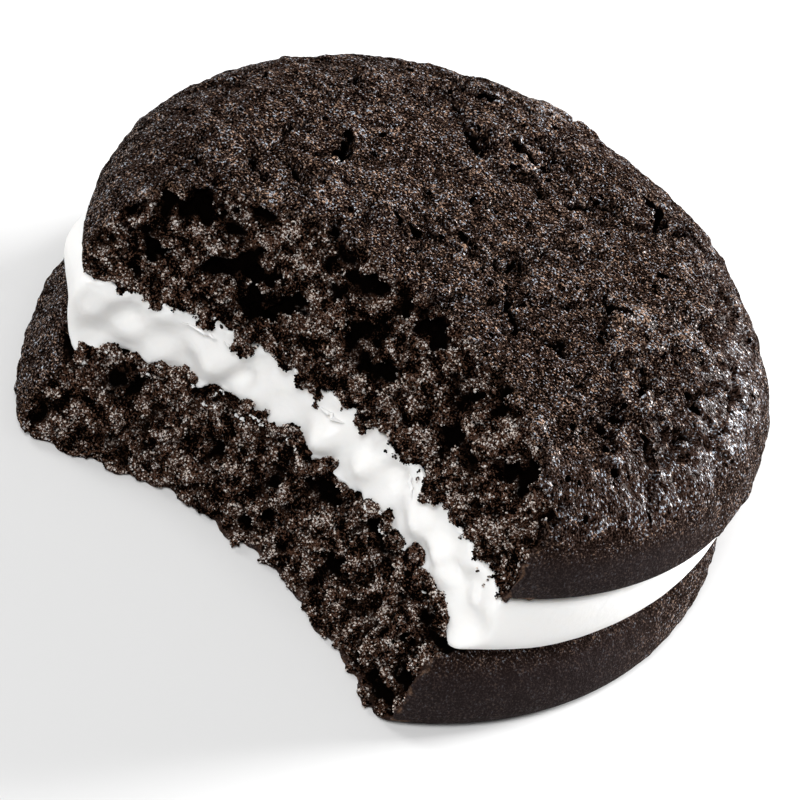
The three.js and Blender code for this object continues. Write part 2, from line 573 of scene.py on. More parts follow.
def balls(name, places, radii, seed, faces=2):
    """One mesh of squashed balls at the places, in millimetres. Two levels of faces are 80 each."""
    mesh = bpy.data.meshes.new(name)
    mesh.from_pydata([tuple(place) for place in places * MM], [], [])
    piece = bpy.data.objects.new(name, mesh)
    bpy.context.collection.objects.link(piece)
    note(piece, "radius", radii * MM)
    note(piece, "luck", np.random.default_rng(seed).uniform(0, 1, len(places)))
    bench, points = shape_nodes(name)
    ball = bench.node("GeometryNodeMeshIcoSphere", {}, {"Radius": 1.0, "Subdivisions": faces}, "Mesh")
    turned = {"Min": (0, 0, 0), "Max": (math.tau, math.tau, math.tau), "Seed": seed}
    rotation = bench.node("FunctionNodeRandomValue", {"data_type": "FLOAT_VECTOR"}, turned, "Value")
    squashed = {"Min": (SQUASH[0],) * 3, "Max": (SQUASH[1],) * 3, "Seed": seed + 1}
    squash = bench.node("FunctionNodeRandomValue", {"data_type": "FLOAT_VECTOR"}, squashed, "Value")
    scale = bench.vector("SCALE", squash, scale=noted(bench, "radius"))
    wanted = {"Points": points, "Instance": ball, "Rotation": rotation, "Scale": scale}
    scattered = bench.node("GeometryNodeInstanceOnPoints", {}, wanted)
    run_nodes(piece, bench.node("GeometryNodeRealizeInstances", {}, {"Geometry": scattered}))
    return piece


# %% [markdown]
# ## Cracks and pits
#
# As the batter rises its skin dries, tears and sags: the top has ragged black cracks, short nicks
# and small burst bubbles. They could be painted, but light has to fall into them. So each crack is
# a thin jagged wedge, a tube with four sides that is flattened and stood on edge, and a Boolean cuts
# the wedges and some small balls out of the crust. The faces they leave are also painted black, a
# painted shade. The larger cracks lie where the photo has them, to about half a millimetre, and
# chance strews the rest.

# %% Cracks and pits that the photo shows on the top cake (x, y in millimetres, seen from above)

CRACKS = [
    [(-13.5, 5), (-12, 2.5), (-12, 0.5), (-13.5, -0.5)],
    [(-12, 19), (-10.5, 19.5), (-8, 20.5)],
    [(-4.5, 17), (-2.5, 16), (-1, 15.5)],
    [(-5, -0.5), (-2.5, -1), (-1, 0.5)],
    [(-2.5, 2.5), (0.5, 2), (2.5, 1), (4, 0)],
    [(0, 18.5), (2, 18), (3, 17)],
    [(7, 22), (8.5, 21.5), (9.5, 21), (10, 18.5)],
    [(12, 7), (13.5, 6), (14.5, 6.5), (15.5, 7.5)],
    [(18.5, 3.5), (19.5, 2.5), (20, 1.5), (20.5, -0.5)],
    [(19.5, -4.5), (21, -5), (22.5, -7)],
    [(22.5, -3), (24, -3.5), (26, -5)],
    [(22.5, 4.5), (23.5, 3.5), (24.5, 3.5)],
]
NICKS = [
    [(-4.5, 8.5), (-4, 10.5)],
    [(-2, 22.5), (-1, 23)],
    [(5.5, 17), (7, 15.5)],
    [(6.5, 8), (7.5, 8.5)],
    [(6, 0.5), (7, 0.5)],
    [(11, 7.5), (12, 7.5)],
    [(9, 0), (10.5, 1)],
    [(17.5, 9), (18.5, 9.5)],
    [(15.5, -3), (16.5, -1.5)],
    [(21, -6.5), (22.5, -7.5)],
]
PITS = [
    (-11.5, 19), (-2, 13.5), (-0.5, 15.5), (2.5, 17), (5, 17.5), (5.5, 5), (14, 12),
    (19.5, 6.5), (19.5, -2.5), (19, -7.5), (21, -5.5), (24, -8), (14.5, 3),
]
print(len(CRACKS), "cracks,", len(NICKS), "nicks and", len(PITS), "groups of pits that the photo shows")

# %% Ragged tubes

JAG = 0.42  # a crack turns about this often, in millimetres
STRAY = 0.13  # and strays this far from its line
TIP = 0.04  # a tube's tip is as thin as this share of its length makes it
WIDTHS_VARY = (0.55, 1.35)
WELD = 0.001 * MM


def ragged_tubes(name, lines, half_width, random):
    """Thin four-sided tubes along lines of x, y, z that jag and swell. Widths in millimetres."""
    curve = bpy.data.curves.new(name, "CURVE")
    curve.dimensions = "3D"
    curve.bevel_depth = MM
    curve.bevel_resolution = 0
    curve.use_fill_caps = True
    for line in lines:
        line = np.array(line, float)
        run = np.concatenate([[0], np.cumsum(np.linalg.norm(np.diff(line, axis=0), axis=1))])
        steps = max(3, round(run[-1] / JAG))
        share = np.linspace(0, 1, steps + 1)
        places = np.stack([np.interp(share * run[-1], run, line[:, axis]) for axis in range(3)], 1)
        places[:, :2] += random.normal(0, STRAY, (steps + 1, 2))
        swelling = np.sin(np.pi * np.clip(share, TIP, 1 - TIP)) ** 0.5
        widths = half_width * swelling * random.uniform(*WIDTHS_VARY, steps + 1)
        spline = curve.splines.new("POLY")
        spline.points.add(steps)
        for point, place, width in zip(spline.points, places * MM, widths):
            point.co = (*place, 1)
            point.radius = width
    tubes = bpy.data.objects.new(name, curve)
    bpy.context.collection.objects.link(tubes)
    pick(tubes)
    bpy.ops.object.convert(target="MESH")
    bpy.ops.object.mode_set(mode="EDIT")
    bpy.ops.mesh.select_all(action="SELECT")
    bpy.ops.mesh.remove_doubles(threshold=WELD)
    bpy.ops.mesh.normals_make_consistent(inside=False)
    bpy.ops.object.mode_set(mode="OBJECT")
    return tubes


def upper_surface(cake, x, y):
    """Height of the cake's upper surface over x, y, however the cake leans."""
    z = np.full(np.shape(x), cake.place.z + cake.thickness)
    for _ in range(3):
        own = cake.own(np.stack([x, y, z], 1))
        z = z + cake.height_at(np.hypot(own[:, 0], own[:, 1])) - own[:, 2]
    return z


def lay_on_top(piece, cake, stretch, sunk):
    """Stretches a piece that lies at height 0 upwards, and lays it on the cake's upper surface."""
    places = corners_of(piece)
    places[:, 2] = places[:, 2] * stretch - sunk + upper_surface(cake, places[:, 0], places[:, 1])
    piece.data.vertices.foreach_set("co", (places * MM).astype(np.float32).ravel())
    piece.data.update()


# %% Wedges for the cracks, balls for the pits

CRACK_HALF_WIDTH = 0.62
CRACK_STRETCH = 2.6  # a wedge is stood this many times as tall as it is wide
NICK_HALF_WIDTH = 0.3
NICK_STRETCH = 3.2
STREWN_NICKS = 46
NICK_LENGTHS = (0.5, 1.5)
NICKS_WITHIN = 27  # millimetres from the cake's middle
STREWN_PITS = 150
PITS_WITHIN = 28.5
STREWN_PIT_SIZES = (0.12, 0.34)
SHOWN_PIT_SIZES = (0.28, 0.5)
BALLS_IN_PIT = 3
PIT_SPREAD = 0.28
PIT_STRETCH = 1.9
PIT_SUNK = 0.1


def laid_flat(lines):
    """Lines of x and y, at height 0."""
    return [[(x, y, 0) for x, y in line] for line in lines]


def strewn_nick(cake, random):
    """One short straight nick somewhere on the cake."""
    turn = random.uniform(0, math.tau)
    far = NICKS_WITHIN * math.sqrt(random.uniform(0, 1))
    start = np.array([cake.place.x + far * math.cos(turn), cake.place.y + far * math.sin(turn), 0])
    heading = random.uniform(0, math.tau)
    length = random.uniform(*NICK_LENGTHS)
    return [start, start + length * np.array([math.cos(heading), math.sin(heading), 0])]


def pit_places(cake, random):
    """Places and sizes of the strewn pits and of the shown ones, which are a few balls each."""
    turns = random.uniform(0, math.tau, STREWN_PITS)
    far = PITS_WITHIN * np.sqrt(random.uniform(0, 1, STREWN_PITS))
    strewn = np.stack([cake.place.x + far * np.cos(turns), cake.place.y + far * np.sin(turns)], 1)
    shown = np.repeat(np.array(PITS), BALLS_IN_PIT, axis=0)
    shown = shown + random.normal(0, PIT_SPREAD, shown.shape)
    strewn_sizes = random.uniform(*STREWN_PIT_SIZES, STREWN_PITS)
    sizes = np.concatenate([strewn_sizes, random.uniform(*SHOWN_PIT_SIZES, len(shown))])
    places = np.concatenate([strewn, shown])
    return np.column_stack([places, np.zeros(len(places))]), sizes


def crust_cutters(cake, random):
    """All that is cut out of the top cake's crust, as a few closed solids."""
    cracks = ragged_tubes("cracks", laid_flat(CRACKS), CRACK_HALF_WIDTH, random)
    lay_on_top(cracks, cake, CRACK_STRETCH, 0)
    short = laid_flat(NICKS) + [strewn_nick(cake, random) for _ in range(STREWN_NICKS)]
    nicks = ragged_tubes("nicks", short, NICK_HALF_WIDTH, random)
    lay_on_top(nicks, cake, NICK_STRETCH, 0)
    pits = balls("pits", *pit_places(cake, random), 31)
    lay_on_top(pits, cake, PIT_STRETCH, PIT_SUNK)
    for piece in (cracks, nicks, pits):
        # Painted shade: the faces these cut are noted as torn, and the material paints them black.
        note(piece, "torn", np.ones(len(piece.data.vertices)))
    return cracks, nicks, pits


def flat_lines(name, lines):
    """The lines as bare edges on the floor, only to measure distances from."""
    places = [(x * MM, y * MM, 0) for line in lines for x, y in line]
    edges = []
    start = 0
    for line in lines:
        edges += [(i, i + 1) for i in range(start, start + len(line) - 1)]
        start += len(line)
    mesh = bpy.data.meshes.new(name)
    mesh.from_pydata(places, edges, [])
    piece = bpy.data.objects.new(name, mesh)
    bpy.context.collection.objects.link(piece)
    return piece


top_cutters = crust_cutters(top_cake, np.random.default_rng(3))
crack_lines = flat_lines("crack_lines", CRACKS)
for piece in top_cutters:
    measure(piece)

# %% [markdown]
# ## The crust's relief
#
# Between the cracks the crust is leathery: soft hills, fine lumps, lips that curl up beside each
# crack, and wrinkles that run down the shoulder where the skin slid. The lower wall was held by the
# tin, so it is smooth, and the base is flat.

# %% Hills, lumps, lips and wrinkles

LOW_WALL = {"top": 4.8, "bottom": 6.4}  # the smooth lower wall's height in millimetres
SMOOTH_BY_X = (-15, -4)  # from the first place to the second the low wall turns smooth
SMOOTH_BY_Y = (4, -9)
DRAWN_ROUND = 26  # millimetres from the axis, where a drawn pattern keeps its size
DRAWN_DOWN = 0.35  # and how little it changes with height
SHOULDER_BAND = (20, 25.5)  # the wrinkles begin between these distances from the axis
SAGGED_TO = (0.85, -0.5)  # the way the skin slid
CRUST_DEPTH = (0.5, 1.0)  # the crust ends between these depths
SEAM_TUCK = 0.015

# Each pattern's height and its size, in millimetres.
HILLS = (0.8, 8.0)
SWELLS = (0.9, 2.8)
LUMPS = (0.55, 1.0)
WALL_SWELLS = (0.1, 3.0)
WRINKLES = (0.55, 0.5)
# A crack's line, and a plate's border, wander this far and this often.
WANDER = 3.2
WANDER_SIZE = 1.6
PLATE_SIZE = 5.5
PLATE_STEP = 0.85
GROOVE_DEPTH = 1.1
LIP_HEIGHT = 0.45
LIP_WIDTH = (0.3, 1.9)


def distance_to(bench, lines, place):
    """Millimetres from a place to the lines, both seen from above."""
    flat = bench.vector("MULTIPLY", place, (MM, MM, 0))
    target = bench.node("GeometryNodeObjectInfo", {}, {"Object": lines}, "Geometry")
    sockets = {"Target": target, "Source Position": flat}
    return bench.node("GeometryNodeProximity", {"target_element": "EDGES"}, sockets, "Distance") / MM


def stretched_down(bench, x, y, z, distance):
    """A place whose patterns come out drawn down the wall: round the cake, and hardly by height."""
    around = {
        "X": DRAWN_ROUND * x / distance,
        "Y": DRAWN_ROUND * y / distance,
        "Z": DRAWN_DOWN * (z - distance),
    }
    return bench.node("ShaderNodeCombineXYZ", {}, around)


def wrinkled(bench, x, y, z, distance, low_wall):
    """Where the shoulder is wrinkled, from 0 to 1: most on the side that sagged."""
    band = fade(bench, z, low_wall, low_wall + 1.2) * fade(bench, distance, *SHOULDER_BAND)
    return band * fade(bench, SAGGED_TO[0] * x + SAGGED_TO[1] * y, 0, 18, 0.25, 1)


def smooth_wall(bench, x, y, z, low_wall):
    """Where the wall is smooth, from 0 to 1: low down, and most at the right of the bite."""
    low = 1 - fade(bench, z, low_wall - 1.6, low_wall + 1.4)
    return low * fade(bench, x, *SMOOTH_BY_X) * fade(bench, y, *SMOOTH_BY_Y, 0.25, 1)


def broken_plates(bench, place, strayed, distance):
    """Plates of skin that stand higher or lower, with grooves along some of their borders."""
    colour = {"Vector": cells(bench, strayed, PLATE_SIZE, "Color")}
    plate = bench.node("ShaderNodeSeparateXYZ", {}, colour, "X")
    shown = fade(bench, noise(bench, place, 9.0, 1.0), 0.38, 0.55) * fade(bench, distance, 29, 25)
    border = cells(bench, strayed, PLATE_SIZE, "Distance", "DISTANCE_TO_EDGE")
    split = shown * fade(bench, noise(bench, place, 3.5, 1.0), 0.46, 0.56)
    groove = 1 - fade(bench, border, 0.02, 0.075)
    return PLATE_STEP * shown * (plate - 0.5) - GROOVE_DEPTH * split * groove


def crust_relief(bench, cake, place, low_wall, has_cracks):
    """How far the crust stands out, in millimetres."""
    x, y, z = own_axes(bench, cake, place)
    distance = (x * x + y * y) ** 0.5
    upper = 1 - smooth_wall(bench, x, y, z, low_wall)
    sagged = wrinkled(bench, x, y, z, distance, low_wall)
    hills = waves(bench, place, *HILLS, detail=1.0) + waves(bench, place, *SWELLS)
    lumps = waves(bench, place, *LUMPS, detail=3.0, rough=0.6) * (1 - 0.5 * sagged)
    relief = upper * (hills + lumps) + waves(bench, place, *WALL_SWELLS, detail=3.0)
    wander = noise(bench, place, WANDER_SIZE, 3.0, 0.65, "Color")
    wander = bench.vector("SUBTRACT", wander, (0.5, 0.5, 0.5))
    strayed = bench.vector("ADD", place, bench.vector("SCALE", wander, scale=WANDER))
    relief = relief + upper * broken_plates(bench, place, strayed, distance)
    drawn = stretched_down(bench, x, y, z, distance)
    relief = relief + sagged * waves(bench, drawn, *WRINKLES, rough=0.6)
    if has_cracks:
        lips = 1 - fade(bench, distance_to(bench, crack_lines, strayed), *LIP_WIDTH)
        curled = lips * fade(bench, noise(bench, place, 2.0, 1.0), 0.4, 0.6)
        relief = relief + LIP_HEIGHT * upper * curled
    return relief * fade(bench, z, 0.3, 1.4)


def relieve_crust(piece, cake, low_wall, has_cracks):
    """Gives the piece its baked relief wherever it is crust."""
    bench, shape = shape_nodes("crust_relief")
    place = place_in_mm(bench)
    relief = crust_relief(bench, cake, place, low_wall, has_cracks)
    # The relief is noted as well, for the material's painted shade and painted glints.
    stored = {"Geometry": shape, "Name": "relief", "Value": relief}
    shape = bench.node("GeometryNodeStoreNamedAttribute", {}, stored)
    is_crust = 1 - fade(bench, noted(bench, "under_crust"), *CRUST_DEPTH)
    tucked = SEAM_TUCK * fade(bench, noted(bench, "behind_seam"), -0.2, 0.1)
    run_nodes(piece, swell(bench, shape, is_crust * (relief - tucked)))


# %% [markdown]
# ## The cakes' bodies
#
# The smooth cake is remeshed into small even faces, which the relief needs. Nobody sees the flat
# base, so that part stays coarse: the fine upper part is cut off and joined to the coarse foot. The
# body is cut a little behind the bite last, which keeps that cut's edge sharp, so that the seam to
# the finer piece at the bite doesn't show as a groove.

# %% Body of each cake

BODY_FACE = 0.215
FOOT = 0.9  # the coarse foot's height in millimetres
WIDER_THAN_CAKE = 90
FAR_FROM_SEAM = -9.0
BODY_EDGE = math.radians(50)  # edges sharper than this stay sharp


def box_above(name, cake, height, top=40):
    """A box that holds all from one height over the cake's base to another."""
    bpy.ops.object.select_all(action="DESELECT")
    bpy.ops.mesh.primitive_cube_add(size=MM, location=(0, 0, (height + top) / 2 * MM))
    box = bpy.context.object
    box.name = name
    box.scale = (WIDER_THAN_CAKE, WIDER_THAN_CAKE, top - height)
    bpy.ops.object.transform_apply()
    box.matrix_world = Matrix.Translation(cake.place * MM) @ cake.lean.to_4x4()
    bpy.ops.object.transform_apply()
    return box


def cake_body(name, whole, cake, low_wall, cutters):
    """The cake behind the bite, with its relief, its cracks and its flat base."""
    body = duplicate(whole, name)
    modify(body, "REMESH", mode="VOXEL", voxel_size=BODY_FACE * MM)
    note(body, "under_crust", np.zeros(len(body.data.vertices)))
    note(body, "behind_seam", np.full(len(body.data.vertices), FAR_FROM_SEAM))
    note(body, "torn", np.zeros(len(body.data.vertices)))
    relieve_crust(body, cake, low_wall, bool(cutters))
    upper = box_above("upper", cake, FOOT)
    cut(body, "INTERSECT", upper)
    foot = duplicate(whole, "foot")
    cut(foot, "DIFFERENCE", upper)
    cut(body, "UNION", foot)
    cut(body, "DIFFERENCE", seam)
    for cutter in cutters:
        cut(body, "DIFFERENCE", cutter)
    discard(upper, foot)
    pick(body)
    bpy.ops.object.shade_smooth_by_angle(angle=BODY_EDGE)
    measure(body)
    return body


bottom_body = cake_body("cake_bottom_body", whole_bottom, bottom_cake, LOW_WALL["bottom"], ())
top_body = cake_body("cake_top_body", whole_top, top_cake, LOW_WALL["top"], top_cutters)

# %% [markdown]
# ## The torn crumb
#
# Torn cake is a sponge of air bubbles with moist clumps of crumb between them. Noise alone gives a
# lumpy skin without depth. Here bubbles are really cut out of a slab that fits the bite, and small
# balls are strewn over what is left, in clumps, as crumbs stick together. One remesh then melts
# slab and balls into one closed skin, and the finest grains are strewn over it as a piece of
# their own.

# %% The larger air bubbles that the photo shows (x, height, radius in millimetres)

HOLLOWS_TOP = [
    (-21, 20, 0.7), (-18, 20.5, 0.6), (-16.5, 22, 0.5), (-15.5, 23, 0.5), (-13, 20, 0.8),
    (-12, 17, 0.7), (-9, 20, 1.0), (-7, 18.5, 0.9), (-6, 24.3, 0.7), (-3.5, 22.5, 0.7),
    (-2.5, 19, 0.7), (0, 23.3, 0.8), (2.5, 19, 0.7), (4.5, 22.5, 0.7), (9, 21.5, 0.7),
    (11.5, 19, 0.8), (15.5, 21, 1.4), (14.5, 17.5, 0.7), (19, 21.3, 0.9),
]
HOLLOWS_BOTTOM = [
    (-19, 4, 0.7), (-16, 6.5, 0.8), (-12, 6, 0.9), (-13, 3.2, 0.6), (-9.5, 8, 0.7),
    (-4, 7.5, 0.8), (1.5, 4, 0.8), (1.5, 7.5, 0.7), (4.5, 8.3, 0.7), (7, 2.8, 0.7),
    (8, 4, 0.9), (11, 7.5, 1.0), (12.5, 4, 0.7), (16.5, 5.5, 0.9), (18, 4.2, 1.0),
]
# Upright crevices where the cake split, as x and height.
CREVICES_TOP = [
    [(-17.5, 23), (-16.5, 21), (-16, 19.5)],
    [(-15, 23.5), (-13.5, 22), (-11.5, 19)],
    [(-12.5, 23.5), (-11.5, 21.5)],
]
CREVICES_BOTTOM = [
    [(2, 5), (3, 7.5), (3.5, 8.5)],
    [(17.5, 6.5), (18, 4.5), (18.5, 3)],
]
# Lumps of crumb that hang down over the cream.
OVERHANGS = [
    (-15.2, 16.3, 0.55), (-11.3, 16.0, 0.5), (-7.8, 15.7, 0.6), (-4.3, 15.9, 0.6),
    (-1.1, 15.3, 0.85), (4.0, 15.5, 0.6), (11.9, 15.5, 0.6),
]
print(len(HOLLOWS_TOP) + len(HOLLOWS_BOTTOM), "larger bubbles and", len(OVERHANGS), "lumps shown")

# %% The slab, heaved into large lumps

COARSE_FACE = 0.24
RIM = 0.4  # deeper than this under the cake's outer surface it is crumb
# Height and size in millimetres. A little more of the face sinks than stands out.
HEAVE = (2.4, 3.2)
HEAVE_MIDDLE = 0.54
FINER_HEAVE = (2.0, 1.3)
RAGGED = (0.9, 0.9)
UNDERCUT = 0.45  # just under the crust the crumb is torn a little deeper


def surface_of(piece):
    """The piece's corners in millimetres and their normals."""
    normals = np.zeros(len(piece.data.vertices) * 3, np.float32)
    piece.data.vertex_normals.foreach_get("vector", normals)
    return corners_of(piece), normals.reshape(-1, 3).astype(float)


def on_the_tear(cake, places):
    """Which places lie on the torn face, and not on the crust or at the back of the slab."""
    return (behind_bite(places) < SEAM) & (cake.under_crust(places) > RIM)


def lumpy_slab(name, whole, cake):
    """The few millimetres of cake at the bite, with the torn face heaved into large lumps."""
    slab = duplicate(whole, name)
    cut(slab, "INTERSECT", fine_part)
    cut(slab, "DIFFERENCE", bite)
    modify(slab, "REMESH", mode="VOXEL", voxel_size=COARSE_FACE * MM)
    places = corners_of(slab)
    note(slab, "under_crust", cake.under_crust(places))
    note(slab, "behind_bite", behind_bite(places))
    bench, shape = shape_nodes("crumb_lumps")
    place = place_in_mm(bench)
    torn_face = 1 - fade(bench, noted(bench, "behind_bite"), 0.3, 1.2)
    under = noted(bench, "under_crust")
    height = own_axes(bench, cake, place)[2]
    heave = waves(bench, place, *HEAVE, middle=HEAVE_MIDDLE) + waves(bench, place, *FINER_HEAVE)
    heave = heave * fade(bench, under, 0, 1.4, 0.35, 1)
    ragged = waves(bench, place, *RAGGED) * fade(bench, height, 0.3, 2)
    undercut = UNDERCUT * fade(bench, under, 0.35, 0.8) * (1 - fade(bench, under, 1.2, 3.5))
    run_nodes(slab, swell(bench, shape, torn_face * (heave + ragged - undercut)))
    return slab


# %% Bubbles and crevices

BALLS_IN_HOLLOW = 7
HOLLOW_SPREAD = 0.55
HOLLOW_SHARES = (0.5, 1.0)
SMALL_BUBBLES = 560
SMALLEST_BUBBLE = 0.2
BUBBLE_SUNK = (-0.1, 0.4)
WHOLE_BASE = 1.3  # below this height no small bubble breaks the base's edge
CREVICE_HALF_WIDTH = 0.55
CREVICE_DEPTH = 3  # times its width
BUBBLE_FACE = 0.12
HOLLOWED_FACE = 0.2


def clusters(spots, count, spread, share, random):
    """Centres and radii of some balls round each spot of x, height and radius on the bite."""
    centres = []
    radii = []
    for x, z, radius in spots:
        middle = np.array([x, bite_y(x, z), z])
        centres.append(middle + random.normal(0, spread * radius, (count, 3)))
        radii.append(radius * random.uniform(*share, count))
    return np.concatenate(centres), np.concatenate(radii)


def hollow_out(slab, cake, hollows, crevices, random):
    """Cuts the shown bubbles and crevices and many small bubbles out of the slab."""
    shown, shown_sizes = clusters(hollows, BALLS_IN_HOLLOW, HOLLOW_SPREAD, HOLLOW_SHARES, random)
    places, normals = surface_of(slab)
    above_base = cake.own(places)[:, 2] > WHOLE_BASE
    torn = np.flatnonzero(on_the_tear(cake, places) & above_base)
    chosen = random.choice(torn, SMALL_BUBBLES, replace=False)
    sunk = places[chosen] - normals[chosen] * random.uniform(*BUBBLE_SUNK, (SMALL_BUBBLES, 1))
    small = SMALLEST_BUBBLE + random.gamma(2.0, 0.13, SMALL_BUBBLES)
    centres = np.concatenate([shown, sunk])
    bubbles = balls("bubbles", centres, np.concatenate([shown_sizes, small]), 11)
    lines = [[(x, bite_y(x, z), z) for x, z in line] for line in crevices]
    splits = ragged_tubes("splits", lines, CREVICE_HALF_WIDTH, random)
    for vertex in splits.data.vertices:
        x, y, z = vertex.co / MM
        surface = bite_y(x, z)
        vertex.co.y = (surface + CREVICE_DEPTH * (y - surface)) * MM
    bubbles = join("bubbles", bubbles, splits)
    modify(bubbles, "REMESH", mode="VOXEL", voxel_size=BUBBLE_FACE * MM)
    cut(slab, "DIFFERENCE", bubbles)
    discard(bubbles)
    modify(slab, "REMESH", mode="VOXEL", voxel_size=HOLLOWED_FACE * MM)


# %% Clumps of crumb

CLUMPS = 1900
CLUMP_SIZES = (0.18, 0.42)
CLUMP_STANDS_OUT = (-0.15, 0.25)
BALLS_ROUND_CLUMP = 7
BALL_AWAY = (0.75, 1.2)  # times its clump's size
BALL_SIZES = (0.12, 0.22)
BALLS_IN_LUMP = 16
LUMP_SPREAD = 0.7
LUMP_SHARES = (0.35, 0.7)
NEARER = 0.1  # a clump's middle may lie this much nearer to the crust than the rim


def strew(slab, cake, lumps, random):
    """Clumps of small balls over the torn face, as one mesh."""
    places, normals = surface_of(slab)
    torn = np.flatnonzero(on_the_tear(cake, places))
    chosen = random.choice(torn, CLUMPS, replace=False)
    sizes = random.uniform(*CLUMP_SIZES, CLUMPS)
    middles = places[chosen] + normals[chosen] * random.uniform(*CLUMP_STANDS_OUT, (CLUMPS, 1))
    lumped, lumped_sizes = clusters(lumps, BALLS_IN_LUMP, LUMP_SPREAD, LUMP_SHARES, random)
    middles = np.concatenate([middles, lumped])
    sizes = np.concatenate([sizes, lumped_sizes])
    count = (len(middles), BALLS_ROUND_CLUMP)
    spread = random.normal(0, 1, (*count, 3))
    spread /= np.linalg.norm(spread, axis=2, keepdims=True)
    away = sizes[:, None, None] * random.uniform(*BALL_AWAY, (*count, 1))
    around = middles[:, None] + spread * away
    centres = np.concatenate([middles, around.reshape(-1, 3)])
    radii = np.concatenate([sizes, random.uniform(*BALL_SIZES, count).ravel()])
    keep = cake.under_crust(centres) > RIM - NEARER
    return balls("strewn", centres[keep], radii[keep], 23)


# %% The finer piece, put together

FINE_FACE = 0.175
GRAIN_WAVES = (0.2, 0.35)
CRUMB_EDGE = math.radians(70)


def torn_crumb(name, whole, cake, low_wall, cutters, hollows, crevices, lumps, seed):
    """The finer piece at the bite: crust outside, torn crumb in front."""
    random = np.random.default_rng(seed)
    slab = lumpy_slab(name, whole, cake)
    hollow_out(slab, cake, hollows, crevices, random)
    slab = join(name, slab, strew(slab, cake, lumps, random))
    modify(slab, "REMESH", mode="VOXEL", voxel_size=FINE_FACE * MM)
    places = corners_of(slab)
    for attribute in list(slab.data.attributes):
        if attribute.name in ("under_crust", "behind_bite", "radius", "luck"):
            slab.data.attributes.remove(attribute)
    note(slab, "under_crust", cake.under_crust(places))
    note(slab, "behind_seam", behind_bite(places) - SEAM)
    note(slab, "torn", np.zeros(len(places)))
    relieve_crust(slab, cake, low_wall, bool(cutters))
    bench, shape = shape_nodes("crumb_grain")
    inside = fade(bench, noted(bench, "under_crust"), 0.2, 0.6)
    grain = waves(bench, place_in_mm(bench), *GRAIN_WAVES, detail=3.0, rough=0.6)
    run_nodes(slab, swell(bench, shape, inside * grain))
    for cutter in cutters:
        cut(slab, "DIFFERENCE", cutter)
    if cake is bottom_cake:
        ground = box_above("ground", cake, -10, 0)
        cut(slab, "DIFFERENCE", ground)
        discard(ground)
    pick(slab)
    bpy.ops.object.shade_smooth_by_angle(angle=CRUMB_EDGE)
    measure(slab)
    return slab


# %% Lumps that stand up before the cream

RISES = 34
RISES_X = (-22.5, 19)
RISE_SIZES = (0.25, 0.5)
RISE_HEIGHTS = (-0.3, 0.45)  # over the bottom cake's upper edge
LEFT_LIFT = 0.5  # as much higher they stand at the far left


def chance_rises(count, random):
    """Lumps along the bottom cake's upper edge at the bite, as x, height and radius."""
    x = random.uniform(*RISES_X, count)
    radius = random.uniform(*RISE_SIZES, count)
    edge = bottom_cake.height_at(np.hypot(x, bite_y(x, bottom_cake.thickness)))
    z = edge + random.uniform(*RISE_HEIGHTS, count) + LEFT_LIFT * np.clip((-18 - x) / 4, 0, 1)
    return list(zip(x, z, radius))


bottom_crumb = torn_crumb(
    "cake_bottom_bite",
    whole_bottom,
    bottom_cake,
    LOW_WALL["bottom"],
    cutters=(),
    hollows=HOLLOWS_BOTTOM,
    crevices=CREVICES_BOTTOM,
    lumps=chance_rises(RISES, np.random.default_rng(13)),
    seed=5,
)
top_crumb = torn_crumb(
    "cake_top_bite",
    whole_top,
    top_cake,
    LOW_WALL["top"],
    cutters=top_cutters,
    hollows=HOLLOWS_TOP,
    crevices=CREVICES_TOP,
    lumps=OVERHANGS,
    seed=8,
)

# %% [markdown]
# ## Cavities and single grains
#
# In the photo the bubbles are black and the clumps between them shine. Light alone leaves a shallow
# bubble too bright, so each corner notes how deep it lies, and the material darkens it. Single
# grains stick to the clumps. They could be noise in a material, but only real grains catch the
# light one by one and make the edge of the tear rough. They have few faces, as there are thousands.

# %% How deep each corner of the crumb lies in a cavity

# The painted shade of a cavity grows from the first depth to the second.
CAVITY_START = -0.05  # millimetres behind the bite's surface
CAVITY_END = 0.85
NO_CAVITY_ABOVE = 0.3  # millimetres under the cake's outer surface
CAVITY_GROWS_OVER = 0.5


def note_cavity_shade(crumb, cake):
    """Notes painted shade: 0 on crust and on clumps that stand out, up to 1 at a bubble's bottom."""
    places = corners_of(crumb)
    depth = np.clip((behind_bite(places) - CAVITY_START) / (CAVITY_END - CAVITY_START), 0, 1)
    inside = np.clip((cake.under_crust(places) - NO_CAVITY_ABOVE) / CAVITY_GROWS_OVER, 0, 1)
    note(crumb, "cavity", depth * inside)
    print(f"{crumb.name}: {(depth * inside > 0.5).mean():.0%} of its corners lie in cavities")


note_cavity_shade(bottom_crumb, bottom_cake)
note_cavity_shade(top_crumb, top_cake)

# %% Grains

GRAINS = 9600
GRAIN_SIZES = (0.045, 0.115)
GRAIN_STANDS_OUT = 0.35  # times its size
ONLY_ABOVE = 0.6  # times the depth of a whole cavity
ABOVE_FLOOR = 0.2


def strew_grains(name, crumb, cake, seed):
    """Single grains of crumb that stick to the torn face, each with its own luck from 0 to 1."""
    random = np.random.default_rng(seed)
    places, normals = surface_of(crumb)
    shallow = behind_bite(places) < ONLY_ABOVE * CAVITY_END
    torn = np.flatnonzero(on_the_tear(cake, places) & shallow)
    chosen = random.choice(torn, GRAINS, replace=False)
    radii = random.uniform(*GRAIN_SIZES, GRAINS)
    centres = places[chosen] + normals[chosen] * (GRAIN_STANDS_OUT * radii)[:, None]
    keep = centres[:, 2] > ABOVE_FLOOR
    grains = balls(name, centres[keep], radii[keep], seed, faces=1)
    measure(grains)
    return grains


bottom_grains = strew_grains("cake_bottom_grains", bottom_crumb, bottom_cake, 41)
top_grains = strew_grains("cake_top_grains", top_crumb, top_cake, 42)

